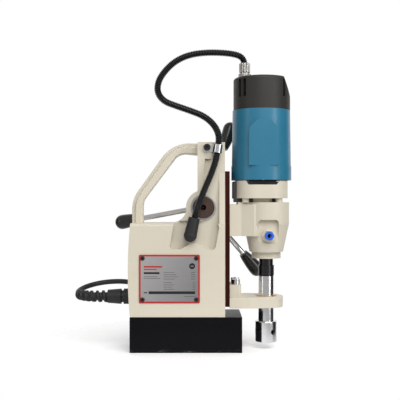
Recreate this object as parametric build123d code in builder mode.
"""Magnetic drill press: an electromagnet base, a cast column with a carrying handle, and a drill
motor with its gearbox on a dovetail slide, fed by a three-lever capstan through a rack and pinion.

Millimetres, +Z up. The origin is the centre of the magnet's bottom face, +X points to the drill
and -Y to the side with the nameplate. The slide is modelled 10 mm above its lowest position."""

from build123d import *
import math
import os

os.makedirs("parts", exist_ok=True)

# ---- driving dimensions -------------------------------------------------------------------
base_length, base_width, base_height = 165, 80, 52
casting_half = 39  # half width of the casting's lower box
column_half = 30  # half width of the column's web
rim_half = 35  # half width of the rim round the handle's window
column_front = 57.5  # X of the face that carries the dovetail
column_back = 17
column_top = 308.7
shelf_height = 189  # top of the lower box
fit = 0.05  # radial clearance of running and located fits

capstan_x, capstan_z = 25.7, 212.4
pinion_module, pinion_teeth = 1.5, 18
pinion_pitch_r = pinion_module * pinion_teeth / 2
pressure_angle = math.radians(20)
bore_r = 18  # cross bore for the pinion
lever_turn = 10.7  # angle of the first lever above the horizontal, towards -X
lever_tilt = 13  # the levers lean outwards
lever_reach = 145  # radius of the circle that the knobs' tips run on

slide_back, slide_plate_back, slide_plate_front = 44.0, 57.7, 64.7
slide_bottom, slide_top = 65.4, 265.9
slide_half = 28
dovetail_half = 22  # at the wide back
dovetail_slope = math.tan(math.radians(30))
gib_thickness = 3

spindle_x = 120.8
motor_x = 113.5
gearbox_r = 34
gearbox_bottom, gearbox_top = 136, 220
chuck_bottom, chuck_top, chuck_r = 9.5, 41.5, 16.5
arbor_bore_r = 9.525
shaft_r = 12
first_module, first_pinion, first_wheel = 0.8, 12, 36
second_module, second_pinion, second_wheel = 1.0, 12, 28
bracket_bottom, bracket_top = 63, 79
flange_bottom, flange_top = 226, 252
motor_r, motor_top, cap_top = 44, 358, 407

hose_r = 5.25
cord_r = 4.0
clip_x, clip_y, clip_z = 46.4, -42.0, 298.0
gland_x, gland_top = 88.3, 430.0
plate_x, plate_z, plate_w, plate_h = -24.0, 108.0, 88.9, 70.8
inlet_z = 77.6
coil_x, coil_y, coil_mean_r, coil_wide, coil_high = -22.0, 120.0, 44.0, 28.0, 26.0


def save(piece, name, colour):
    """Labels a finished piece and writes it as the node of that name."""
    piece.label = name
    piece.color = Color(*colour)
    export_step(piece, f"parts/{name}.step")


CREAM, BLACK, STEEL = (0.80, 0.78, 0.70), (0.05, 0.05, 0.05), (0.60, 0.60, 0.62)
DARK, BLUE, COPPER = (0.12, 0.12, 0.12), (0.15, 0.42, 0.55), (0.72, 0.40, 0.20)
BROWN, RED, BRASS = (0.25, 0.12, 0.10), (0.70, 0.10, 0.10), (0.75, 0.60, 0.30)
GREEN = (0.10, 0.45, 0.20)


# ---- electromagnet base -------------------------------------------------------------------
pole_length, pole_width = 112, 24
winding_wall, winding_depth, resin_depth = 13, 30, 4
fixing_x, fixing_y, fixing_r = (-62, 38), 27, 4

with BuildPart() as magnet_body:
    with BuildSketch():
        Rectangle(base_length, base_width)
    extrude(amount=base_height)
    fillet(magnet_body.edges().filter_by(Axis.Z), 2)
    chamfer(magnet_body.faces().sort_by(Axis.Z)[-1].edges(), 0.8)
    with BuildSketch(Plane.XY):
        SlotOverall(pole_length + 2 * winding_wall, pole_width + 2 * winding_wall)
        SlotOverall(pole_length, pole_width, mode=Mode.SUBTRACT)
    extrude(amount=winding_depth, mode=Mode.SUBTRACT)
    with Locations(*[(x, y, base_height) for x in fixing_x for y in (-fixing_y, fixing_y)]):
        Hole(fixing_r, depth=18)
save(magnet_body.part, "magnet_body", BLACK)

with BuildPart() as magnet_winding:
    with BuildSketch(Plane.XY.offset(resin_depth)):
        SlotOverall(pole_length + 2 * winding_wall - 1, pole_width + 2 * winding_wall - 1)
        SlotOverall(pole_length + 1, pole_width + 1, mode=Mode.SUBTRACT)
    extrude(amount=winding_depth - resin_depth)
save(magnet_winding.part, "magnet_winding", COPPER)

with BuildPart() as winding_resin:
    with BuildSketch(Plane.XY.offset(0.3)):
        SlotOverall(pole_length + 2 * winding_wall, pole_width + 2 * winding_wall)
        SlotOverall(pole_length, pole_width, mode=Mode.SUBTRACT)
    extrude(amount=resin_depth - 0.3)
save(winding_resin.part, "winding_resin", DARK)

# ---- column casting -----------------------------------------------------------------------
handle_half = 13
handle_step_half = 9
rim_width = 7
hub_r = 25.6
panel_pocket_depth = 66
gib_gap = 0.1
gib_screw_x, gib_screw_tip, gib_screw_r = 50, 23.9, 2.5
gib_screw_z = (72, 112, 152, 275, 297)  # three in the box's wall and two in the web

guide_back = slide_back - 0.3


def mirror_pair(y):
    return (-y, y)


def flank(x, clearance):
    """Half width of the dovetail at x, moved out square to the flank by a clearance."""
    return dovetail_half - (x - slide_back) * dovetail_slope + clearance / math.cos(math.radians(30))


with BuildPart() as column_casting:
    # lower box, with a slightly bulged rear wall
    with BuildSketch(Plane.XZ):
        with BuildLine():
            ThreePointArc((-82, base_height), (-85, 120), (-81.5, shelf_height))
            Polyline(
                (-81.5, shelf_height),
                (column_front, shelf_height),
                (column_front, base_height),
                (-82, base_height),
            )
        make_face()
    extrude(amount=casting_half, both=True)
    box_edges = column_casting.edges().filter_by(Axis.X).group_by(Axis.Z)[-1]
    fillet(box_edges, 4)
    # handle: an arched bar from the rear wall to the top of the column
    with BuildSketch(Plane.XZ):
        with BuildLine():
            FilletPolyline(
                (-81.5, shelf_height - 2), (-81.5, 224.6), (-21.5, 308.5), (28, 308.5), radius=50
            )
            Polyline((28, 308.5), (28, shelf_height - 2), (-81.5, shelf_height - 2))
        make_face()
        with BuildLine():
            FilletPolyline((-65, shelf_height - 2), (-65, 221.5), (-10.9, 293.6), (18, 291), radius=20)
            Polyline((18, 291), (18, shelf_height - 2), (-65, shelf_height - 2))
        make_face(mode=Mode.SUBTRACT)
    extrude(amount=handle_step_half, both=True)
    # the inner two thirds of the bar stand proud of its outer edge
    with BuildSketch(Plane.XZ):
        with BuildLine():
            FilletPolyline(
                (-76.5, shelf_height - 2), (-76.5, 222.8), (-18.8, 303.5), (28, 303.5), radius=45
            )
            Polyline((28, 303.5), (28, shelf_height - 2), (-76.5, shelf_height - 2))
        make_face()
        with BuildLine():
            FilletPolyline((-65, shelf_height - 2), (-65, 221.5), (-10.9, 293.6), (18, 291), radius=20)
            Polyline((18, 291), (18, shelf_height - 2), (-65, shelf_height - 2))
        make_face(mode=Mode.SUBTRACT)
    extrude(amount=handle_half, both=True)
    # column web with the round hub of the capstan and its foot on the shelf
    with BuildSketch(Plane.XZ):
        with BuildLine():
            Polyline(
                (column_back, shelf_height - 2),
                (column_back, column_top),
                (column_front, column_top),
                (column_front, shelf_height - 2),
                (column_back, shelf_height - 2),
            )
        make_face()
        with Locations((capstan_x, capstan_z)):
            Circle(hub_r)
        with BuildLine():
            ThreePointArc((-19, shelf_height), (-6.5, 195.5), (0.5, 207))
            Polyline((0.5, 207), (capstan_x, 207), (capstan_x, shelf_height - 2))
            Polyline((capstan_x, shelf_height - 2), (-19, shelf_height - 2), (-19, shelf_height))
        make_face()
    extrude(amount=column_half, both=True)
    # rim along the window's front edge and round the hub
    with BuildSketch(Plane.XZ):
        with BuildLine():
            Polyline(
                (column_back, 233),
                (column_back, column_top),
                (38, column_top),
                (38, 284),
                (28, 284),
                (24.5, 233),
                (column_back, 233),
            )
        make_face()
        with Locations((capstan_x, capstan_z)):
            Circle(hub_r)
            Circle(hub_r - rim_width, mode=Mode.SUBTRACT)
        with Locations((capstan_x + hub_r, capstan_z - 4)):
            Rectangle(2 * hub_r, 3 * hub_r, mode=Mode.SUBTRACT)
        with BuildLine():
            ThreePointArc((-19, shelf_height), (-6.5, 195.5), (0.5, 207))
            Polyline((0.5, 207), (8, 207), (0, shelf_height - 2), (-19, shelf_height - 2))
            Line((-19, shelf_height - 2), (-19, shelf_height))
        make_face()
        with Locations((32.5, 296.3)):
            Rectangle(11, 2 * (column_top - 296.3))
    extrude(amount=rim_half, both=True)
    # front rails: they taper from the box's width to the web's
    with BuildSketch(Plane.YZ.offset(49)):
        for side in (-1, 1):
            with BuildLine():
                Polyline(
                    (side * (column_half - 2), shelf_height - 2),
                    (side * casting_half, shelf_height - 2),
                    (side * column_half, 262),
                    (side * (column_half - 2), 262),
                    (side * (column_half - 2), shelf_height - 2),
                )
            make_face()
    extrude(amount=column_front - 49)
    # scooped recesses where the web runs down into the box
    for side in (-1, 1):
        with BuildSketch(Plane.XZ.offset(side * casting_half)):
            with BuildLine():
                FilletPolyline(
                    (-17, shelf_height + 4),
                    (-24.5, 150.5),
                    (-6, 151.5),
                    (11, 163),
                    (31, 151.5),
                    (43, 150.5),
                    (49, shelf_height - 5),
                    (44, shelf_height + 4),
                    radius=[5, 9, 12, 9, 5, 3],
                )
                Line((44, shelf_height + 4), (-17, shelf_height + 4))
            make_face()
        extrude(amount=-side * (casting_half - column_half), mode=Mode.SUBTRACT)
    # cross bore for the pinion, stepped down on the lever side
    with Locations(Plane((capstan_x, -50, capstan_z), z_dir=(0, 1, 0))):
        Cylinder(bore_r + fit, 65, align=(Align.CENTER, Align.CENTER, Align.MIN), mode=Mode.SUBTRACT)
    with Locations(Plane((capstan_x, 10, capstan_z), z_dir=(0, 1, 0))):
        Cylinder(13 + fit, 40, align=(Align.CENTER, Align.CENTER, Align.MIN), mode=Mode.SUBTRACT)
    # dovetail guide, wider on the lever side for the gib, and the channel for the rack
    with BuildSketch(Plane.XY.offset(base_height)):
        with BuildLine():
            Polyline(
                (guide_back, -flank(guide_back, gib_gap)),
                (column_front + 1, -flank(column_front + 1, gib_gap)),
                (column_front + 1, flank(column_front + 1, 2 * gib_gap + gib_thickness)),
                (guide_back, flank(guide_back, 2 * gib_gap + gib_thickness)),
                (guide_back, -flank(guide_back, gib_gap)),
            )
        make_face()
        with Locations((guide_back, 0)):
            Rectangle(7.5, 17.2, align=(Align.MAX, Align.CENTER))
            Rectangle(2, 17.2, align=(Align.MIN, Align.CENTER))
    extrude(amount=column_top, mode=Mode.SUBTRACT)
    # room for the electrics, open towards the lever side
    with BuildSketch(Plane.XZ.offset(-casting_half)):
        with Locations((plate_x, plate_z)):
            RectangleRounded(76, 56, 4)
    extrude(amount=panel_pocket_depth, mode=Mode.SUBTRACT)
    # bolt wells down to the magnet
    with Locations(*[(x, y, base_height) for x in fixing_x for y in mirror_pair(fixing_y)]):
        Cylinder(4.5, 14, align=(Align.CENTER, Align.CENTER, Align.MIN), mode=Mode.SUBTRACT)
    # threaded holes for the gib's screws, through the lever side
    with Locations(*[Plane((gib_screw_x, gib_screw_tip, z), z_dir=(0, 1, 0)) for z in gib_screw_z]):
        Cylinder(
            gib_screw_r + fit, casting_half, align=(Align.CENTER, Align.CENTER, Align.MIN), mode=Mode.SUBTRACT
        )
    # cable inlet in the rear wall, with a flat seat for its gland
    with Locations(Plane((-90, 0, inlet_z), z_dir=(1, 0, 0))):
        Cylinder(6, 34, align=(Align.CENTER, Align.CENTER, Align.MIN), mode=Mode.SUBTRACT)
        Cylinder(13.5, 7, align=(Align.CENTER, Align.CENTER, Align.MIN), mode=Mode.SUBTRACT)
    # softened edges of the handle
    for half, soft_r in ((handle_step_half, 1.5), (handle_half, 2)):
        handle_edges = column_casting.edges().filter_by(
            lambda edge: abs(abs(edge.center().Y) - half) < 0.01
            and edge.center().Z > shelf_height + 3
            and edge.center().X < column_back - 1
        )
        fillet(handle_edges, soft_r)
save(column_casting.part, "column_casting", CREAM)

# ---- fasteners ----------------------------------------------------------------------------


def cap_screw(start, direction, head_r, head_h, shank_r, shank_l):
    """Socket cap screw: the head stands on the plane at start, and the shank points the other way."""
    along = Plane(start, z_dir=direction)
    with BuildPart() as screw:
        with BuildSketch(along):
            Circle(head_r)
        extrude(amount=head_h)
        with BuildSketch(along.offset(head_h)):
            RegularPolygon(head_r * 0.52, 6)
        extrude(amount=-head_h * 0.6, mode=Mode.SUBTRACT)
        with BuildSketch(along):
            Circle(shank_r)
        extrude(amount=-shank_l)
    return screw.part


def group(pieces):
    """Identical fasteners share one node."""
    return Compound(children=pieces)


base_screws = [
    cap_screw((x, y, base_height), (0, 0, 1), 4.4, 8, 3.9, 16)
    for x in fixing_x
    for y in mirror_pair(fixing_y)
]
save(group(base_screws), "base_screws", DARK)

# ---- nameplate and control panel ------------------------------------------------------------
plate_screw_dx, plate_screw_dz = 78.7, 60.4

with BuildPart() as nameplate:
    with BuildSketch(Plane.XZ.offset(casting_half)):
        with Locations((plate_x, plate_z)):
            RectangleRounded(plate_w, plate_h, 2)
            with GridLocations(plate_screw_dx, plate_screw_dz, 2, 2):
                Circle(1.6, mode=Mode.SUBTRACT)
    extrude(amount=1.2)
save(nameplate.part, "nameplate", STEEL)

plate_corners = [
    (plate_x + sx * plate_screw_dx / 2, plate_z + sz * plate_screw_dz / 2)
    for sx in (-1, 1)
    for sz in (-1, 1)
]
panel_y = casting_half
panel_front = panel_y + 2.4
rocker_x, start_x, stop_x = plate_x - 22, plate_x + 2, plate_x + 24
rocker_w, rocker_h, button_r = 15, 22, 8
rocker_pivot_y = panel_front - 1.5
rocker_pin_r, rocker_pin_out = 1, 1.4

with BuildPart() as control_panel:
    with BuildSketch(Plane.XZ.offset(-panel_y)):
        with Locations((plate_x, plate_z)):
            RectangleRounded(plate_w, plate_h, 3)
            with GridLocations(plate_screw_dx, plate_screw_dz, 2, 2):
                Circle(1.6, mode=Mode.SUBTRACT)
        with Locations((rocker_x, plate_z)):
            Rectangle(rocker_w + 0.8, rocker_h + 0.8, mode=Mode.SUBTRACT)
        with Locations((start_x, plate_z), (stop_x, plate_z)):
            Circle(button_r + 0.3, mode=Mode.SUBTRACT)
    extrude(amount=-(panel_front - panel_y))
    # notches behind the panel for the rocker's pivots
    with Locations((rocker_x, rocker_pivot_y + rocker_pin_r + 0.05, plate_z)):
        Box(
            rocker_w + 2 * rocker_pin_out + 0.4,
            4,
            2 * rocker_pin_r + 0.1,
            align=(Align.CENTER, Align.MAX, Align.CENTER),
            mode=Mode.SUBTRACT,
        )
    # raised collars round the two push buttons
    with BuildSketch(Plane.XZ.offset(-panel_front)):
        with Locations((start_x, plate_z), (stop_x, plate_z)):
            Circle(button_r + 2.3)
            Circle(button_r + 0.3, mode=Mode.SUBTRACT)
    extrude(amount=-3)
save(control_panel.part, "control_panel", DARK)

with BuildPart() as cover_screws:
    for x, z in plate_corners:
        for face, outwards in ((-casting_half - 1.2, -1), (panel_front, 1)):
            with BuildSketch(Plane((x, face, z), z_dir=(0, outwards, 0))):
                Circle(3.4)
            extrude(amount=1.8)
            with BuildSketch(Plane((x, face, z), z_dir=(0, outwards, 0))):
                Circle(1.5)
            extrude(amount=-1.1)
    chamfer(cover_screws.edges().filter_by(GeomType.CIRCLE).group_by(Axis.Y)[0], 0.7)
    chamfer(cover_screws.edges().filter_by(GeomType.CIRCLE).group_by(Axis.Y)[-1], 0.7)
save(cover_screws.part, "cover_screws", BLACK)

rocker_turn = 8
with BuildPart() as rocker:
    with BuildSketch(Plane.YZ.offset(rocker_x - rocker_w / 2)):
        with BuildLine():
            Polyline(
                (rocker_pivot_y - 3.5, plate_z - 6.5),
                (rocker_pivot_y + 2.6, plate_z - rocker_h / 2 + 1.2),
                (rocker_pivot_y + 4.2, plate_z),
                (rocker_pivot_y + 2.6, plate_z + rocker_h / 2 - 1.2),
                (rocker_pivot_y - 3.5, plate_z + 6.5),
                (rocker_pivot_y - 3.5, plate_z - 6.5),
            )
        make_face()
    extrude(amount=rocker_w)
    with BuildSketch(Plane.YZ.offset(rocker_x)):
        with Locations((rocker_pivot_y, plate_z)):
            Circle(rocker_pin_r)
    extrude(amount=rocker_w / 2 + rocker_pin_out, both=True)
rocker_axis = Axis((rocker_x, rocker_pivot_y, plate_z), (1, 0, 0))
save(rocker.part.rotate(rocker_axis, -rocker_turn), "magnet_switch", RED)

for name, x, colour in (("start_button", start_x, GREEN), ("stop_button", stop_x, RED)):
    with BuildPart() as button:
        with BuildSketch(Plane.XZ.offset(-(panel_y - 6))):
            with Locations((x, plate_z)):
                Circle(button_r)
        extrude(amount=-13.4)
        fillet(button.faces().sort_by(Axis.Y)[-1].edges(), 1.5)
    save(button.part, name, colour)

with BuildPart() as control_board:
    with BuildSketch(Plane.XZ.offset(14)):
        with Locations((plate_x, plate_z)):
            Rectangle(66, 44)
    extrude(amount=1.6)
    with BuildSketch(Plane.XZ.offset(15.6)):
        with Locations((plate_x, plate_z)):
            with GridLocations(56, 34, 2, 2):
                Circle(3)
    extrude(amount=11.4)
    # rectifier, relay and capacitor on the board's face
    with BuildSketch(Plane.XZ.offset(14)):
        with Locations((plate_x - 20, plate_z)):
            Rectangle(18, 28)
        with Locations((plate_x + 6, plate_z + 8)):
            Rectangle(20, 15)
        with Locations((plate_x + 22, plate_z - 10)):
            Circle(7)
    extrude(amount=-16)
save(control_board.part, "control_board", GREEN)

# ---- dovetail slide -------------------------------------------------------------------------
slide_length = slide_top - slide_bottom
dovetail_run = (slide_plate_back - slide_back) * dovetail_slope

with BuildPart() as slide_bar:
    with BuildSketch(Plane.XY.offset(slide_bottom)):
        with BuildLine():
            Polyline(
                (slide_back, -dovetail_half),
                (slide_plate_back, -dovetail_half + dovetail_run),
                (slide_plate_back, -slide_half),
                (slide_plate_front, -slide_half),
                (slide_plate_front, slide_half),
                (slide_plate_back, slide_half),
                (slide_plate_back, dovetail_half - dovetail_run),
                (slide_back, dovetail_half),
                (slide_back, -dovetail_half),
            )
        make_face()
    extrude(amount=slide_length)
    chamfer(slide_bar.faces().sort_by(Axis.X)[-1].edges().filter_by(Axis.Z), 1)
save(slide_bar.part, "slide_bar", BROWN)

rack_pitch = math.pi * pinion_module
rack_line = capstan_x + pinion_pitch_r
tooth_backlash = 0.16
rack_first = math.ceil((slide_bottom + 4 - capstan_z) / rack_pitch)
rack_last = math.floor((slide_top - 4 - capstan_z) / rack_pitch)
rack_addendum, rack_dedendum = 0.85 * pinion_module, 1.25 * pinion_module
rack_half_pitch_line = rack_pitch / 4 - tooth_backlash / 2

with BuildPart() as rack:
    with BuildSketch(Plane.XZ):
        with Locations(((rack_line + rack_dedendum + slide_back) / 2, (slide_bottom + slide_top) / 2)):
            Rectangle(slide_back - rack_line - rack_dedendum, slide_length - 6)
        tip = rack_half_pitch_line - rack_addendum * math.tan(pressure_angle)
        root = rack_half_pitch_line + rack_dedendum * math.tan(pressure_angle)
        for tooth in range(rack_first, rack_last + 1):
            z = capstan_z + tooth * rack_pitch
            with BuildLine():
                Polyline(
                    (rack_line + rack_dedendum, z - root),
                    (rack_line - rack_addendum, z - tip),
                    (rack_line - rack_addendum, z + tip),
                    (rack_line + rack_dedendum, z + root),
                    (rack_line + rack_dedendum, z - root),
                )
            make_face()
    extrude(amount=8, both=True)
save(rack.part, "rack", STEEL)

gib_bottom, gib_top = base_height + 4, column_top - 6
gib_front = column_front - 0.6
with BuildPart() as gib_strip:
    with BuildSketch(Plane.XY.offset(gib_bottom)):
        with BuildLine():
            Polyline(
                (slide_back, flank(slide_back, gib_gap)),
                (gib_front, flank(gib_front, gib_gap)),
                (gib_front, flank(gib_front, gib_gap + gib_thickness)),
                (slide_back, flank(slide_back, gib_gap + gib_thickness)),
                (slide_back, flank(slide_back, gib_gap)),
            )
        make_face()
    extrude(amount=gib_top - gib_bottom)
save(gib_strip.part, "gib_strip", BRASS)


def gib_screw(z):
    """Set screw that presses on the gib, with its lock nut against the casting."""
    wall = casting_half if z < shelf_height else column_half
    with BuildPart() as screw:
        with BuildSketch(Plane((gib_screw_x, gib_screw_tip, z), z_dir=(0, 1, 0))):
            Circle(gib_screw_r)
        extrude(amount=wall + 6 - gib_screw_tip)
        with BuildSketch(Plane((gib_screw_x, wall + 6, z), z_dir=(0, 1, 0))):
            RegularPolygon(1.5, 6)
        extrude(amount=-3, mode=Mode.SUBTRACT)
        with BuildSketch(Plane((gib_screw_x, wall, z), z_dir=(0, 1, 0))):
            RegularPolygon(4.6, 6)
            Circle(gib_screw_r - 0.2, mode=Mode.SUBTRACT)
        extrude(amount=3.2)
    return screw.part


save(group([gib_screw(z) for z in gib_screw_z]), "gib_screws", BLACK)

# ---- capstan: shaft with its pinion, hub, levers and knobs ------------------------------------


def involute_outline(module, teeth, turned, backlash):
    """Gear outline with involute flanks; one tooth is centred on the angle turned."""
    pitch_r = module * teeth / 2
    base_r = pitch_r * math.cos(pressure_angle)
    root_r, tip_r = pitch_r - 1.2 * module, pitch_r + 0.85 * module
    at_pitch = math.pi / 2 / teeth - backlash / 2 / pitch_r
    at_base = at_pitch + math.tan(pressure_angle) - pressure_angle

    def half_tooth(radius):
        if radius <= base_r:
            return at_base * (1 - 0.5 * (base_r - radius) / base_r)
        flank = math.acos(base_r / radius)
        return at_base - math.tan(flank) + flank

    levels = [root_r * 0.98, max(base_r, root_r), pitch_r, (pitch_r + tip_r) / 2, tip_r]
    rising = [(r * math.cos(half_tooth(r)), -r * math.sin(half_tooth(r))) for r in levels]
    falling = [(x, -y) for x, y in reversed(rising)]
    with BuildSketch() as outline:
        Circle(root_r)
        with PolarLocations(0, teeth, start_angle=turned):
            Polygon(*rising, *falling, align=None)
    return outline.sketch


def across(y):
    """Plane across the capstan's axis, looking from -Y, with +X to the right and +Z up."""
    return Plane((capstan_x, y, capstan_z), x_dir=(1, 0, 0), z_dir=(0, -1, 0))


journal_r, far_r = 16, 10
disc_face, pinion_half, hub_back, hub_front, lever_hub_r = -36.5, 14, 41, 62, 21

with BuildPart() as pinion_shaft:
    with BuildSketch(across(-18)):
        Circle(journal_r)
    extrude(amount=-disc_face - 18)
    chamfer(pinion_shaft.faces().sort_by(Axis.Y)[0].edges(), 1)
    with BuildSketch(across(disc_face)):
        Circle(4.2)
    extrude(amount=-7, taper=25, mode=Mode.SUBTRACT)
    with BuildSketch(across(-pinion_half)):
        Circle(12)
    extrude(amount=18 - pinion_half)
    with BuildSketch(across(pinion_half)):
        add(involute_outline(pinion_module, pinion_teeth, 180 / pinion_teeth, tooth_backlash))
    extrude(amount=2 * pinion_half)
    with BuildSketch(across(hub_front)):
        Circle(far_r)
    extrude(amount=hub_front - pinion_half)
save(pinion_shaft.part, "pinion_shaft", BROWN)

with BuildPart() as near_bush:
    with BuildSketch(across(-17)):
        Circle(bore_r)
        Circle(journal_r + fit, mode=Mode.SUBTRACT)
    extrude(amount=17)

with BuildPart() as far_bush:
    with BuildSketch(across(column_half + 3)):
        Circle(13)
        Circle(far_r + fit, mode=Mode.SUBTRACT)
    extrude(amount=column_half + 3 - 16)
    with BuildSketch(across(column_half + 3)):
        Circle(18)
        Circle(far_r + fit, mode=Mode.SUBTRACT)
    extrude(amount=2.8)
save(group([near_bush.part, far_bush.part]), "capstan_bushes", STEEL)

lever_angles = [180 + lever_turn - 120 * n for n in range(3)]
rod_r, rod_start, knob_length, knob_r = 4.5, 12, 47, 11.7
lever_root_y = 51
tilt = math.radians(lever_tilt)


def lever_plane(angle, along):
    """Plane across a lever at a distance along it; the levers fan out from the hub's middle."""
    turned = math.radians(angle)
    direction = Vector(
        math.cos(turned) * math.cos(tilt), math.sin(tilt), math.sin(turned) * math.cos(tilt)
    )
    return Plane(Vector(capstan_x, lever_root_y, capstan_z) + direction * along, z_dir=direction)


with BuildPart() as capstan_hub:
    with BuildSketch(across(hub_front)):
        Circle(lever_hub_r)
        Circle(far_r + 0.02, mode=Mode.SUBTRACT)
    extrude(amount=hub_front - hub_back)
    chamfer(capstan_hub.faces().sort_by(Axis.Y)[-1].edges().sort_by(SortBy.LENGTH)[-1], 2)
    for angle in lever_angles:
        with BuildSketch(lever_plane(angle, rod_start)):
            Circle(rod_r + 0.03)
        extrude(amount=20, mode=Mode.SUBTRACT)
save(capstan_hub.part, "capstan_hub", DARK)

rod_end = lever_reach / math.cos(tilt) - 8
knob_start = lever_reach / math.cos(tilt) - knob_length
with BuildPart() as lever_rods:
    for angle in lever_angles:
        with BuildSketch(lever_plane(angle, rod_start)):
            Circle(rod_r)
        extrude(amount=rod_end - rod_start)
save(lever_rods.part, "lever_rods", STEEL)


def lever_knob(angle):
    """Tapered knob with a domed end, bored for its rod."""
    across_knob = lever_plane(angle, knob_start)
    sideways = Plane(across_knob.origin, x_dir=across_knob.x_dir, z_dir=-across_knob.y_dir)
    dome_start = knob_length - knob_r
    with BuildPart() as knob:
        with BuildSketch(sideways):
            with BuildLine():
                Line((rod_r + 0.03, 0), (7, 0))
                Spline((7, 0), (10.3, 18), (knob_r, dome_start), tangents=[(0.25, 1), (0, 1)])
                TangentArc((knob_r, dome_start), (0, knob_length), tangent=(0, 1))
                Polyline((0, knob_length), (0, knob_length - 8), (rod_r + 0.03, knob_length - 8))
                Line((rod_r + 0.03, knob_length - 8), (rod_r + 0.03, 0))
            make_face()
        revolve(axis=Axis(across_knob.origin, across_knob.z_dir))
    return knob.part


save(group([lever_knob(angle) for angle in lever_angles]), "lever_knobs", BLACK)

with BuildPart() as hub_screw:
    with BuildSketch(across(hub_front)):
        Circle(13)
    extrude(amount=-2.5)
    with BuildSketch(across(hub_front + 2.5)):
        Circle(6.5)
    extrude(amount=-6)
    with BuildSketch(across(hub_front + 8.5)):
        RegularPolygon(3.4, 6)
    extrude(amount=4, mode=Mode.SUBTRACT)
save(hub_screw.part, "hub_screw", STEEL)

# ---- gearbox --------------------------------------------------------------------------------
gear_low, gear_high, wheel_face = 199, 208, 6
chamber_floor, cover_thickness = 197, 3
chamber_top = gearbox_top - cover_thickness
first_centre = first_module * (first_pinion + first_wheel) / 2
second_centre = second_module * (second_pinion + second_wheel) / 2
shaft_offset = spindle_x - motor_x
lay_x = motor_x + (first_centre**2 - second_centre**2 + shaft_offset**2) / 2 / shaft_offset
lay_y = math.sqrt(first_centre**2 - (lay_x - motor_x) ** 2)
first_wheel_r = first_module * first_wheel / 2
second_wheel_r = second_module * second_wheel / 2
bearing_low_z, bearing_low_r, bearing_low_h = 140, 19, 12
bearing_mid_z, bearing_mid_r, bearing_mid_h = 186, 12.5, 10
spindle_r = 9
box_spread = 10  # the gearbox is longer across the machine than along it
fitting_x, fitting_z, fitting_face = 122, 171, -38.5
window_x, window_z = 121.2, 176.8

with BuildPart() as gearbox_housing:
    with BuildSketch(Plane.XY.offset(gearbox_bottom)):
        with Locations((spindle_x, 0)):
            Circle(22)
    extrude(amount=16)
    # the body narrows downwards to the seat of the lower bearing
    with BuildSketch(Plane.XY.offset(gearbox_bottom + 52)):
        with Locations((spindle_x, 0)):
            SlotOverall(2 * gearbox_r + box_spread, 2 * gearbox_r, rotation=90)
    extrude(amount=-42, taper=12)
    with BuildSketch(Plane.XY.offset(gearbox_bottom + 52)):
        with Locations((spindle_x, 0)):
            SlotOverall(2 * gearbox_r + box_spread, 2 * gearbox_r, rotation=90)
    extrude(amount=chamber_top - gearbox_bottom - 52)
    # arm to the slide
    with BuildSketch(Plane.XY.offset(170)):
        with BuildLine():
            Polyline(
                (slide_plate_front, -26),
                (82, -26),
                (100, -34),
                (spindle_x, -34),
                (spindle_x, 34),
                (100, 34),
                (82, 26),
                (slide_plate_front, 26),
                (slide_plate_front, -26),
            )
        make_face()
    extrude(amount=chamber_top - 170)
    # window round the coolant inlet, with the inlet's boss standing in it
    with BuildSketch(Plane.XZ.offset(30)):
        with Locations((window_x, window_z)):
            RectangleRounded(30, 35, 5)
    extrude(amount=20, mode=Mode.SUBTRACT)
    with BuildSketch(Plane.XZ.offset(26)):
        with Locations((fitting_x, fitting_z)):
            Circle(10)
    extrude(amount=8)
    # bearing seats, shaft passage and hollow middle
    with Locations((spindle_x, 0, gearbox_bottom)):
        Cylinder(13, 6, align=(Align.CENTER, Align.CENTER, Align.MIN), mode=Mode.SUBTRACT)
    with Locations((spindle_x, 0, bearing_low_z)):
        Cylinder(
            bearing_low_r, bearing_low_h + 2, align=(Align.CENTER, Align.CENTER, Align.MIN), mode=Mode.SUBTRACT
        )
    with Locations((spindle_x, 0, bearing_low_z + bearing_low_h)):
        Cylinder(18, 29, align=(Align.CENTER, Align.CENTER, Align.MIN), mode=Mode.SUBTRACT)
    with Locations((spindle_x, 0, 180)):
        Cylinder(11, 8, align=(Align.CENTER, Align.CENTER, Align.MIN), mode=Mode.SUBTRACT)
    with Locations((spindle_x, 0, bearing_mid_z)):
        Cylinder(bearing_mid_r, 12, align=(Align.CENTER, Align.CENTER, Align.MIN), mode=Mode.SUBTRACT)
    # gear chamber, open upwards
    with BuildSketch(Plane.XY.offset(chamber_floor)):
        with Locations((spindle_x, 0)):
            Circle(second_wheel_r + 3)
        with Locations((lay_x, lay_y)):
            Circle(first_wheel_r + 2)
        with Locations((motor_x, 0)):
            Circle(12)
    extrude(amount=30, mode=Mode.SUBTRACT)
    with Locations((lay_x, lay_y, chamber_floor - 5)):
        Cylinder(7, 6, align=(Align.CENTER, Align.CENTER, Align.MIN), mode=Mode.SUBTRACT)
    # coolant passage
    with BuildSketch(Plane.XZ.offset(40)):
        with Locations((fitting_x, fitting_z)):
            Circle(4)
    extrude(amount=-26, mode=Mode.SUBTRACT)
save(gearbox_housing.part, "gearbox_housing", CREAM)

with BuildPart() as gear_cover:
    with BuildSketch(Plane.XY.offset(chamber_top)):
        with Locations((spindle_x, 0)):
            SlotOverall(2 * gearbox_r + box_spread, 2 * gearbox_r, rotation=90)
        with Locations((92, 0)):
            Rectangle(30, 52)
        with Locations((motor_x, 0)):
            Circle(8, mode=Mode.SUBTRACT)
    extrude(amount=cover_thickness)
    with Locations((lay_x, lay_y, chamber_top)):
        Cylinder(3, 4, mode=Mode.SUBTRACT)
save(gear_cover.part, "gear_cover", CREAM)


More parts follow.
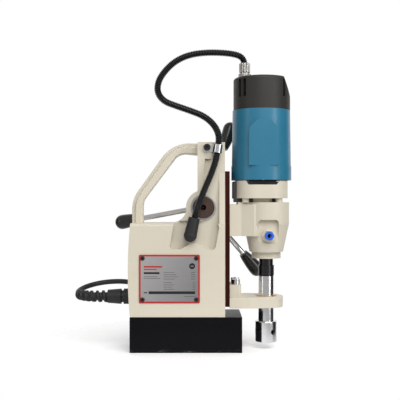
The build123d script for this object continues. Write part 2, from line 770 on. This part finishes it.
def ball_bearing(x, y, z, inner, outer, height):
    """Deep groove ball bearing: two rings with a row of balls between them, fused as one node."""
    middle, gap = (inner + outer) / 2, (outer - inner) * 0.36
    with BuildPart() as bearing:
        with BuildSketch(Plane.XY.offset(z)):
            with Locations((x, y)):
                Circle(outer)
                Circle(middle + gap / 2, mode=Mode.SUBTRACT)
                Circle(middle - gap / 2)
                Circle(inner, mode=Mode.SUBTRACT)
        extrude(amount=height)
        with BuildSketch(Plane.XY.offset(z + height * 0.2)):
            with Locations((x, y)):
                Circle(middle + gap / 2 + 0.1)
                Circle(middle - gap / 2 - 0.1, mode=Mode.SUBTRACT)
        extrude(amount=height * 0.6)
    return bearing.part


spindle_bearings = [
    ball_bearing(
        spindle_x, 0, bearing_low_z, spindle_r + fit, bearing_low_r - fit, bearing_low_h
    ),
    ball_bearing(
        spindle_x, 0, bearing_mid_z, spindle_r + fit, bearing_mid_r - fit, bearing_mid_h
    ),
]
lay_shaft_r = 2.9
with BuildPart() as layshaft_bush:
    with BuildSketch(Plane(origin=(lay_x, lay_y, chamber_floor - 5), z_dir=(0, 0, 1))):
        Circle(7 - 0.02)
        Circle(lay_shaft_r + fit, mode=Mode.SUBTRACT)
    extrude(amount=5)
save(group([*spindle_bearings, layshaft_bush.part]), "gearbox_bearings", STEEL)

# ---- coolant inlet ----------------------------------------------------------------------------
with BuildPart() as coolant_fitting:
    with BuildSketch(Plane.XZ.offset(34)):
        with Locations((fitting_x, fitting_z)):
            RegularPolygon(8, 6)
            Circle(3.5, mode=Mode.SUBTRACT)
    extrude(amount=4)
    with BuildSketch(Plane.XZ.offset(38)):
        with Locations((fitting_x, fitting_z)):
            Circle(6.8)
            Circle(3.5, mode=Mode.SUBTRACT)
    extrude(amount=4)
    with BuildSketch(Plane.XZ.offset(34)):
        with Locations((fitting_x, fitting_z)):
            Circle(3.9)
            Circle(3, mode=Mode.SUBTRACT)
    extrude(amount=-12)
    with BuildSketch(Plane.XZ.offset(42)):
        with Locations((fitting_x, fitting_z)):
            Circle(5.2)
    extrude(amount=-5, mode=Mode.SUBTRACT)
save(coolant_fitting.part, "coolant_fitting", STEEL)

with BuildPart() as coolant_collet:
    with BuildSketch(Plane.XZ.offset(38.5)):
        with Locations((fitting_x, fitting_z)):
            Circle(5.1)
            Circle(3.05, mode=Mode.SUBTRACT)
    extrude(amount=5)
    with BuildSketch(Plane.XZ.offset(43.5)):
        with Locations((fitting_x, fitting_z)):
            Circle(6.4)
            Circle(3.05, mode=Mode.SUBTRACT)
    extrude(amount=1.8)
    fillet(coolant_collet.faces().sort_by(Axis.Y)[0].edges().sort_by(SortBy.LENGTH)[-1], 0.8)
save(coolant_collet.part, "coolant_collet", BLUE)

# ---- drill spindle ----------------------------------------------------------------------------
with BuildPart() as arbor_shaft:
    with BuildSketch(Plane.XY.offset(chuck_top)):
        with Locations((spindle_x, 0)):
            Circle(shaft_r)
    extrude(amount=109 - chuck_top)
    with BuildSketch(Plane.XY.offset(109)):
        with Locations((spindle_x, 0)):
            Circle(spindle_r)
    extrude(amount=gear_low + wheel_face - 109)
    with Locations((spindle_x, 0, chuck_top)):
        Cylinder(3, 90, align=(Align.CENTER, Align.CENTER, Align.MIN), mode=Mode.SUBTRACT)
save(arbor_shaft.part, "arbor_shaft", STEEL)

with BuildPart() as arbor_collar:
    with BuildSketch(Plane.XY.offset(109)):
        with Locations((spindle_x, 0)):
            Circle(12)
            Circle(spindle_r + 0.02, mode=Mode.SUBTRACT)
    extrude(amount=16)
    with BuildSketch(Plane.XY.offset(125)):
        with Locations((spindle_x, 0)):
            Circle(10.5)
            Circle(spindle_r + 0.02, mode=Mode.SUBTRACT)
    extrude(amount=bearing_low_z - 125.3)
    chamfer(arbor_collar.faces().sort_by(Axis.Z)[0].edges().sort_by(SortBy.LENGTH)[-1], 1)
save(arbor_collar.part, "arbor_collar", BLACK)

set_screw_z, set_screw_r = 25.5, 4
with BuildPart() as arbor_chuck:
    with BuildSketch(Plane.XY.offset(chuck_bottom)):
        with Locations((spindle_x, 0)):
            Circle(chuck_r)
    extrude(amount=chuck_top - chuck_bottom)
    fillet(arbor_chuck.faces().sort_by(Axis.Z)[-1].edges(), 2)
    chamfer(arbor_chuck.faces().sort_by(Axis.Z)[0].edges(), 1)
    with Locations((spindle_x, 0, chuck_bottom)):
        Cylinder(
            arbor_bore_r, 28, align=(Align.CENTER, Align.CENTER, Align.MIN), mode=Mode.SUBTRACT
        )
    with Locations((spindle_x, 0, chuck_bottom + 28)):
        Cylinder(3, 10, align=(Align.CENTER, Align.CENTER, Align.MIN), mode=Mode.SUBTRACT)
    for angle in (-55, 35):
        radial = Plane(
            (spindle_x, 0, set_screw_z),
            z_dir=(math.cos(math.radians(angle)), math.sin(math.radians(angle)), 0),
        )
        with BuildSketch(radial):
            Circle(set_screw_r + 0.05)
        extrude(amount=chuck_r + 2, mode=Mode.SUBTRACT)
save(arbor_chuck.part, "arbor_chuck", STEEL)

with BuildPart() as chuck_set_screws:
    for angle in (-55, 35):
        radial = Plane(
            (spindle_x, 0, set_screw_z),
            z_dir=(math.cos(math.radians(angle)), math.sin(math.radians(angle)), 0),
        )
        with BuildSketch(radial.offset(arbor_bore_r + 0.5)):
            Circle(set_screw_r)
        extrude(amount=5)
        with BuildSketch(radial.offset(arbor_bore_r + 5.5)):
            RegularPolygon(2.4, 6)
        extrude(amount=-3, mode=Mode.SUBTRACT)
save(chuck_set_screws.part, "chuck_set_screws", DARK)


def bearing_from(start, end):
    """Angle in degrees of the line between two points in plan."""
    return math.degrees(math.atan2(end[1] - start[1], end[0] - start[0]))


to_lay = bearing_from((motor_x, 0), (lay_x, lay_y))
to_spindle = bearing_from((lay_x, lay_y), (spindle_x, 0))
gear_backlash = 0.14

with BuildPart() as spindle_gear:
    with BuildSketch(Plane(origin=(spindle_x, 0, gear_low), z_dir=(0, 0, 1))):
        turned = to_spindle + 180 + 180 / second_wheel
        add(involute_outline(second_module, second_wheel, turned, gear_backlash))
        Circle(spindle_r + 0.02, mode=Mode.SUBTRACT)
    extrude(amount=wheel_face)
save(spindle_gear.part, "spindle_gear", STEEL)

with BuildPart() as layshaft:
    with BuildSketch(Plane(origin=(lay_x, lay_y, chamber_floor - 3), z_dir=(0, 0, 1))):
        Circle(lay_shaft_r)
    extrude(amount=gearbox_top - chamber_floor + 1)
    with BuildSketch(Plane(origin=(lay_x, lay_y, gear_low), z_dir=(0, 0, 1))):
        add(involute_outline(second_module, second_pinion, to_spindle, gear_backlash))
    extrude(amount=gear_high - gear_low)
    with BuildSketch(Plane(origin=(lay_x, lay_y, gear_high), z_dir=(0, 0, 1))):
        turned = to_lay + 180 + 180 / first_wheel
        add(involute_outline(first_module, first_wheel, turned, gear_backlash))
    extrude(amount=wheel_face)
save(layshaft.part, "layshaft_gear", STEEL)

# ---- motor ------------------------------------------------------------------------------------
motor_centre = (motor_x, 0)
cap_centre_x, cap_r = 114.2, 42.75
armature_r, shaft_low_r = 23.5, 6
flange_seat_z, flange_bearing_r = 240, 13
cap_seat_z, cap_bearing_r = 386, 11

flange_corners = [(x, y) for x in (88, 137) for y in (-28, 28)]

with BuildPart() as motor_flange:
    with BuildSketch(Plane.XY.offset(gearbox_top)):
        with Locations((motor_x, 0)):
            Circle(27)
        with Locations(*flange_corners):
            Circle(5)
    extrude(amount=flange_bottom - gearbox_top)
    with BuildSketch(Plane.XY.offset(flange_bottom)):
        with Locations((112.5, 0)):
            RectangleRounded(79, 82, 30)
    extrude(amount=flange_top - flange_bottom)
    fillet(motor_flange.faces().sort_by(Axis.Z)[-1].edges(), 1)
    # fan chamber open upwards, bearing seat and pinion passage
    with Locations((motor_x, 0, flange_seat_z)):
        Cylinder(
            flange_bearing_r, 20, align=(Align.CENTER, Align.CENTER, Align.MIN), mode=Mode.SUBTRACT
        )
        Cylinder(8, 80, mode=Mode.SUBTRACT)
    with Locations((motor_x, 0, 249)):
        Cylinder(36, 10, align=(Align.CENTER, Align.CENTER, Align.MIN), mode=Mode.SUBTRACT)
    # air outlets on both sides
    with BuildSketch(Plane.XZ):
        with BuildLine():
            Polyline((86.5, 254), (139, 254), (133, 246), (92, 246), (86.5, 254))
        make_face()
    extrude(amount=60, both=True, mode=Mode.SUBTRACT)
    # bolt holes into the gear cover
    with Locations(*[(x, y, gearbox_top) for x, y in flange_corners]):
        Cylinder(3.1, 80, mode=Mode.SUBTRACT)
save(motor_flange.part, "motor_flange", CREAM)

flange_bolts = [
    cap_screw((x, y, 232), (0, 0, 1), 3, 6, 2.9, 12) for x, y in flange_corners
]
save(group(flange_bolts), "flange_bolts", DARK)

skirt_top = 274.3
with BuildPart() as motor_housing:
    with BuildSketch(Plane.XY.offset(flange_top + 1)):
        with Locations(motor_centre):
            Circle(45.3)
    extrude(amount=skirt_top - flange_top - 1)
    with BuildSketch(Plane.XY.offset(skirt_top)):
        with Locations(motor_centre):
            Circle(motor_r + 0.6)
    with BuildSketch(Plane.XY.offset(motor_top)):
        with Locations(motor_centre):
            Circle(motor_r - 0.6)
    loft()
    # arched panels raised on both sides
    for side in (-1, 1):
        with BuildSketch(Plane.XZ.offset(side * 38)):
            with BuildLine():
                FilletPolyline(
                    (92, skirt_top), (92, 330), (113.5, 349), (135, 330), (135, skirt_top), radius=16
                )
                Line((135, skirt_top), (92, skirt_top))
            make_face()
        extrude(amount=side * 6.9)
    with Locations((motor_x, 0, flange_top + 1)):
        Cylinder(
            41, motor_top - flange_top, align=(Align.CENTER, Align.CENTER, Align.MIN), mode=Mode.SUBTRACT
        )
save(motor_housing.part, "motor_housing", BLUE)

slot_angles = (-144, -131, -44, 44, 131, 144)  # from the front
slot_middle, slot_height, slot_width = 389.5, 26, 5
with BuildPart() as motor_end_cap:
    with BuildSketch(Plane.XY.offset(motor_top)):
        with Locations((cap_centre_x, 0)):
            Circle(cap_r)
    extrude(amount=cap_top - motor_top)
    fillet(motor_end_cap.faces().sort_by(Axis.Z)[-1].edges(), 4)
    # sloping facet at the front
    with BuildSketch(Plane.XZ):
        with BuildLine():
            Polyline(
                (cap_centre_x + 30, cap_top),
                (cap_centre_x + cap_r + 1, cap_top - 33),
                (cap_centre_x + cap_r + 1, cap_top + 1),
                (cap_centre_x + 30, cap_top + 1),
                (cap_centre_x + 30, cap_top),
            )
        make_face()
    extrude(amount=cap_r, both=True, mode=Mode.SUBTRACT)
    with Locations((gland_x, 0, motor_top + 26)):
        Cylinder(10, 23, align=(Align.CENTER, Align.CENTER, Align.MIN))
    with Locations((motor_x, 0, motor_top)):
        Cylinder(38, 26, align=(Align.CENTER, Align.CENTER, Align.MIN), mode=Mode.SUBTRACT)
        Cylinder(
            cap_bearing_r, 36, align=(Align.CENTER, Align.CENTER, Align.MIN), mode=Mode.SUBTRACT
        )
    # tall cooling slots: one on each side at the front, two at the back
    for angle in slot_angles:
        turned = math.radians(angle)
        outwards = (math.cos(turned), math.sin(turned), 0)
        with BuildSketch(Plane((cap_centre_x, 0, slot_middle), x_dir=(0, 0, 1), z_dir=outwards).offset(34)):
            Rectangle(slot_height, slot_width)
        extrude(amount=12, mode=Mode.SUBTRACT)
    with Locations((gland_x, 0, cap_top - 8)):
        Cylinder(4, 20, align=(Align.CENTER, Align.CENTER, Align.MIN), mode=Mode.SUBTRACT)
save(motor_end_cap.part, "motor_end_cap", DARK)

with BuildPart() as stator:
    with BuildSketch(Plane.XY.offset(285)):
        with Locations(motor_centre):
            Circle(40.9)
            Circle(armature_r + 0.6, mode=Mode.SUBTRACT)
    extrude(amount=50)
    with BuildSketch(Plane.XY.offset(278)):
        with Locations(motor_centre):
            Circle(36)
            Circle(28, mode=Mode.SUBTRACT)
    extrude(amount=64)
save(stator.part, "stator", STEEL)

with BuildPart() as armature:
    with BuildSketch(Plane.XY.offset(285)):
        with Locations(motor_centre):
            Circle(armature_r)
            with PolarLocations(armature_r, 12):
                Rectangle(5, 2, mode=Mode.SUBTRACT)
    extrude(amount=50)
    with BuildSketch(Plane.XY.offset(343)):
        with Locations(motor_centre):
            Circle(13)
    extrude(amount=16)
    with BuildSketch(Plane.XY.offset(gear_high + wheel_face + 1)):
        with Locations(motor_centre):
            Circle(shaft_low_r)
    extrude(amount=cap_seat_z + 7 - gear_high - wheel_face - 1)
    with BuildSketch(Plane(origin=(motor_x, 0, gear_high - 0.5), z_dir=(0, 0, 1))):
        add(involute_outline(first_module, first_pinion, to_lay, gear_backlash))
    extrude(amount=wheel_face + 1.5)
save(armature.part, "armature", COPPER)

with BuildPart() as cooling_fan:
    with BuildSketch(Plane.XY.offset(256)):
        with Locations(motor_centre):
            Circle(33)
            Circle(shaft_low_r + 0.02, mode=Mode.SUBTRACT)
    extrude(amount=2)
    with BuildSketch(Plane.XY.offset(258)):
        with Locations(motor_centre):
            Circle(10)
            Circle(shaft_low_r + 0.02, mode=Mode.SUBTRACT)
            with PolarLocations(22, 9):
                Rectangle(22, 2, rotation=25)
    extrude(amount=12)
save(cooling_fan.part, "cooling_fan", DARK)

armature_bearings = [
    ball_bearing(
        motor_x, 0, flange_seat_z, shaft_low_r + fit, flange_bearing_r - fit, 8
    ),
    ball_bearing(motor_x, 0, cap_seat_z, shaft_low_r + fit, cap_bearing_r - fit, 7),
]
save(group(armature_bearings), "armature_bearings", STEEL)

with BuildPart() as brush_holders:
    for side in (-1, 1):
        with BuildSketch(Plane.XZ.offset(side * 13.4)):
            with Locations((motor_x, 351)):
                Rectangle(12, 9)
        extrude(amount=side * 26.4)
save(brush_holders.part, "brush_holders", BRASS)

# ---- support bracket round the arbor -------------------------------------------------------------
bracket_half = 30
with BuildPart() as support_bracket:
    with BuildSketch(Plane.XY.offset(bracket_bottom)):
        with BuildLine():
            FilletPolyline(
                (slide_plate_front, -bracket_half + 2),
                (95, -bracket_half + 2),
                (140, -20),
                (147, 0),
                (140, 20),
                (95, bracket_half - 2),
                (slide_plate_front, bracket_half - 2),
                radius=14,
            )
            Line((slide_plate_front, bracket_half - 2), (slide_plate_front, -bracket_half + 2))
        make_face()
        with Locations((spindle_x, 0)):
            Circle(15 + fit, mode=Mode.SUBTRACT)
    extrude(amount=bracket_top - bracket_bottom)
    fillet(support_bracket.faces().sort_by(Axis.Z)[-1].edges().sort_by(SortBy.LENGTH)[-4:], 1)
save(support_bracket.part, "support_bracket", CREAM)

with BuildPart() as bracket_bush:
    with BuildSketch(Plane.XY.offset(bracket_bottom - 1)):
        with Locations((spindle_x, 0)):
            Circle(15)
            Circle(shaft_r + fit, mode=Mode.SUBTRACT)
    extrude(amount=bracket_top - bracket_bottom + 2)
save(bracket_bush.part, "bracket_bush", BRASS)

with BuildPart() as bracket_block:
    with BuildSketch(Plane.XY.offset(bracket_top)):
        with Locations(((slide_plate_front + 82) / 2, 0)):
            Rectangle(82 - slide_plate_front, 42)
    extrude(amount=18)
    fillet(bracket_block.edges().filter_by(Axis.Z).group_by(Axis.X)[-1], 3)
    with Locations((74.5, -12, bracket_top + 18), (74.5, 12, bracket_top + 18)):
        Hole(4.2)
save(bracket_block.part, "bracket_block", CREAM)
bracket_screws = [
    cap_screw((74.5, y, bracket_top + 18), (0, 0, 1), 6.5, 8, 4.1, 17.5) for y in (-12, 12)
]
save(group(bracket_screws), "bracket_screws", STEEL)

# ---- hose between the column and the motor --------------------------------------------------------
hose_low = [
    (12.6, -46, 197.3),
    (16.5, -46.5, 211),
    (22.5, -47, 227),
    (29, -46.5, 243),
    (36.5, -45, 260),
    (43.6, -43.2, 279.5),
    (clip_x, clip_y, clip_z),
]
hose_high = [
    (clip_x, clip_y, clip_z),
    (49.2, -40.8, 316.5),
    (42, -38, 333),
    (27, -35, 346.5),
    (6, -31.5, 355),
    (-15, -28, 362.5),
    (-33, -25, 369.5),
    (-43, -22.5, 383),
    (-41.5, -20.5, 400),
    (-32, -18, 415.5),
    (-16.5, -15, 431),
    (4, -12, 441),
    (28, -9, 445),
    (50, -6, 445.5),
    (68, -3.5, 444.5),
    (82, -1, 441.5),
    (gland_x, 0, 433.5),
    (gland_x, 0, 424),
]


def route_radii(points):
    """Radius of each corner: as large as the shorter of its two runs allows."""
    radii = []
    for before, here, after in zip(points, points[1:], points[2:]):
        run_in = Vector(*here) - Vector(*before)
        run_out = Vector(*after) - Vector(*here)
        half_turn = math.radians(run_in.get_angle(run_out)) / 2
        radii.append(0.45 * min(run_in.length, run_out.length) / math.tan(half_turn))
    return radii


def tube(points, radius, name):
    """Round tube along straight runs joined by tangent arcs."""
    radii = route_radii(points)
    with BuildPart() as swept:
        with BuildLine() as path:
            FilletPolyline(*points, radius=radii)
        start = path.wires()[0]
        with BuildSketch(Plane(origin=start @ 0, z_dir=start % 0)):
            Circle(radius)
        sweep(path=start)
    expected = math.pi * radius**2 * start.length
    print(
        f"{name}: {start.length:.1f} long, volume {swept.part.volume / expected:.4f} of its length,"
        f" radii {[round(r) for r in radii]}"
    )
    return swept.part


save(tube(hose_low, hose_r, "conduit_lower"), "conduit_lower", BLACK)
save(tube(hose_high, hose_r, "conduit_upper"), "conduit_upper", BLACK)

boot_x, boot_z = 6.7, 171.9
boot_y = -46
boot_top = Vector(*hose_low[0])
boot_elbow = Vector(boot_x, boot_y, boot_z)
boot_lean = (boot_top - boot_elbow).normalized()
with BuildPart() as conduit_boot:
    with BuildSketch(Plane.XZ.offset(column_half)):
        with Locations((boot_x, boot_z)):
            Circle(9.6)
    extrude(amount=-boot_y - column_half)
    with Locations(boot_elbow):
        Sphere(9.6)
    with BuildSketch(Plane(boot_elbow, z_dir=boot_lean)):
        Circle(9.4)
    extrude(amount=(boot_top - boot_elbow).length, taper=2.5)
save(conduit_boot.part, "conduit_boot", BLACK)

tab_face = rim_half + 1.2
clip_middle = Plane(hose_low[-1], z_dir=Vector(*hose_high[1]) - Vector(*hose_low[-2]))
with BuildPart() as conduit_clip:
    with BuildSketch(clip_middle):
        Circle(hose_r + 1.5)
    extrude(amount=6, both=True)
    with BuildSketch(Plane.XZ.offset(rim_half)):
        with Locations((35.5, clip_z + 1)):
            Rectangle(21, 10)
        with Locations((31, 300.6)):
            Circle(2.6, mode=Mode.SUBTRACT)
    extrude(amount=1.2)
    with BuildSketch(clip_middle):
        Circle(hose_r + 0.35)
    extrude(amount=7, both=True, mode=Mode.SUBTRACT)
save(conduit_clip.part, "conduit_clip", STEEL)
save(cap_screw((31, -tab_face, 300.6), (0, -1, 0), 5, 5, 2.5, 1.1), "clip_screw", DARK)

with BuildPart() as motor_gland:
    with BuildSketch(Plane.XY.offset(cap_top)):
        with Locations((gland_x, 0)):
            Circle(9.4)
    extrude(amount=7)
    with BuildSketch(Plane.XY.offset(cap_top + 7)):
        with Locations((gland_x, 0)):
            Circle(8.35)
    extrude(amount=gland_top - cap_top - 7)
    chamfer(motor_gland.faces().sort_by(Axis.Z)[-1].edges(), 1)
    with Locations((gland_x, 0, 424)):
        Cylinder(
            hose_r + 0.35, 10, align=(Align.CENTER, Align.CENTER, Align.MIN), mode=Mode.SUBTRACT
        )
    with Locations((gland_x, 0, cap_top)):
        Cylinder(3.6, 60, mode=Mode.SUBTRACT)
save(motor_gland.part, "motor_gland", STEEL)

# ---- mains lead -----------------------------------------------------------------------------------
seat_x = -83.0
protector_start, protector_straight, protector_bend_r, protector_bend = -118.8, 14, 36, 65

with BuildPart() as inlet_gland:
    with BuildSketch(Plane.XZ):
        with BuildLine():
            Polyline(
                (seat_x + 12, inlet_z),
                (seat_x + 12, inlet_z + 5.8),
                (seat_x, inlet_z + 5.8),
                (seat_x, inlet_z + 11.6),
                (-94.5, inlet_z + 11.6),
                (-94.5, inlet_z + 9),
                (-97.5, inlet_z + 9),
                (-98.5, inlet_z + 11.6),
                (-106, inlet_z + 11),
                (protector_start, inlet_z + 10),
                (protector_start, inlet_z),
                (seat_x + 12, inlet_z),
            )
        make_face()
    revolve(axis=Axis((0, 0, inlet_z), (1, 0, 0)))
    # flutes for the spanner round the front nut
    with BuildSketch(Plane.YZ.offset(-94.5)):
        with Locations((0, inlet_z)):
            with PolarLocations(11.9, 16):
                Circle(0.9)
    extrude(amount=9, mode=Mode.SUBTRACT)
save(inlet_gland.part, "inlet_gland", BLACK)

bend = math.radians(protector_bend)
bend_start = protector_start - protector_straight
protector_end = (
    bend_start - protector_bend_r * math.sin(bend),
    protector_bend_r * (1 - math.cos(bend)),
    inlet_z,
)
bend_middle = (
    bend_start - protector_bend_r * math.sin(bend / 2),
    protector_bend_r * (1 - math.cos(bend / 2)),
    inlet_z,
)
rib_count = 6
with BuildPart() as cord_protector:
    with BuildLine() as protector_line:
        Line((protector_start, 0, inlet_z), (bend_start, 0, inlet_z))
        ThreePointArc((bend_start, 0, inlet_z), bend_middle, protector_end)
    middle_line = protector_line.wires()[0]
    with BuildSketch(Plane(origin=middle_line @ 0, z_dir=middle_line % 0)):
        Circle(6.6)
    sweep(path=middle_line)
    for rib in range(rib_count):
        along = (rib + 0.55) / rib_count
        with BuildSketch(Plane(origin=middle_line @ along, z_dir=middle_line % along)):
            Circle(9.2 - 1.5 * along)
        extrude(amount=2, both=True)
save(cord_protector.part, "cord_protector", BLACK)

cord_route = [
    protector_end,
    (-171.2, 33.5, 78.6),
    (-168.5, 50, 82),
    (-159.5, 63.5, 85.5),
    (-146, 73, 88.5),
    (-129.5, 75.5, 91),
    (-108, 75.8, 92),
    (-86, 74.5, 90),
    (-67, 73, 82.5),
    (-52, 72.5, 70),
    (-42, 73, 54),
    (-33, 74.5, 38.5),
    (-20, 76, 26),
    (-6, 78.5, 19),
]
tail_route = [
    (-37, 71, 8),
    (-24, 67.8, 5.6),
    (-11, 65.4, 6.8),
    (0, 63.2, 10.4),
    (11, 61.6, 13.3),
]
save(tube(cord_route, cord_r, "mains_cord"), "mains_cord", BLACK)
save(tube(tail_route, cord_r, "cord_tail"), "cord_tail", BLACK)

with BuildPart() as cord_coil:
    with BuildSketch(Plane.XZ.offset(-coil_y)):
        with Locations((coil_x + coil_mean_r, coil_high / 2 + 0.1)):
            coil_section = Rectangle(coil_wide, coil_high)
            chamfer(coil_section.vertices(), 6)
    revolve(axis=Axis((coil_x, coil_y, 0), (0, 0, 1)))
save(cord_coil.part, "cord_coil", BLACK)

tie_angle = math.radians(150)
tie_middle = (coil_x + coil_mean_r * math.cos(tie_angle), coil_y + coil_mean_r * math.sin(tie_angle))
with BuildPart() as cord_tie:
    tie_plane = Plane(
        origin=(tie_middle[0], tie_middle[1], coil_high / 2 + 0.1),
        x_dir=(math.cos(tie_angle), math.sin(tie_angle), 0),
        z_dir=(-math.sin(tie_angle), math.cos(tie_angle), 0),
    )
    with BuildSketch(tie_plane):
        RectangleRounded(coil_wide + 5, coil_high + 4, 10.5)
        RectangleRounded(coil_wide + 2.6, coil_high + 1.6, 9.6, mode=Mode.SUBTRACT)
    extrude(amount=7, both=True)
    split(bisect_by=Plane.XY.offset(0.2), keep=Keep.TOP)
save(cord_tie.part, "cord_tie", DARK)

plug_x, plug_y, plug_z = tail_route[-1]
plug_grip, plug_shoulder, plug_face = 34, 60, 66
with BuildPart() as mains_plug:
    with BuildSketch(Plane.YZ.offset(plug_grip)):
        with Locations((plug_y, plug_z)):
            Circle(8)
    extrude(amount=plug_x - plug_grip, taper=7)
    with BuildSketch(Plane.YZ.offset(plug_shoulder)):
        with Locations((plug_y, plug_z)):
            RectangleRounded(36, 26, 11)
    extrude(amount=plug_grip - plug_shoulder, taper=13)
    with BuildSketch(Plane.YZ.offset(plug_shoulder)):
        with Locations((plug_y, plug_z)):
            RectangleRounded(36, 26, 11)
    extrude(amount=plug_face - plug_shoulder)
save(mains_plug.part, "mains_plug", BLACK)

with BuildPart() as plug_pins:
    with BuildSketch(Plane.YZ.offset(plug_face)):
        with Locations((plug_y - 9.5, plug_z), (plug_y + 9.5, plug_z)):
            Circle(2.4)
    extrude(amount=19)
    fillet(plug_pins.faces().sort_by(Axis.X)[-2:].edges(), 1)
save(plug_pins.part, "plug_pins", BRASS)
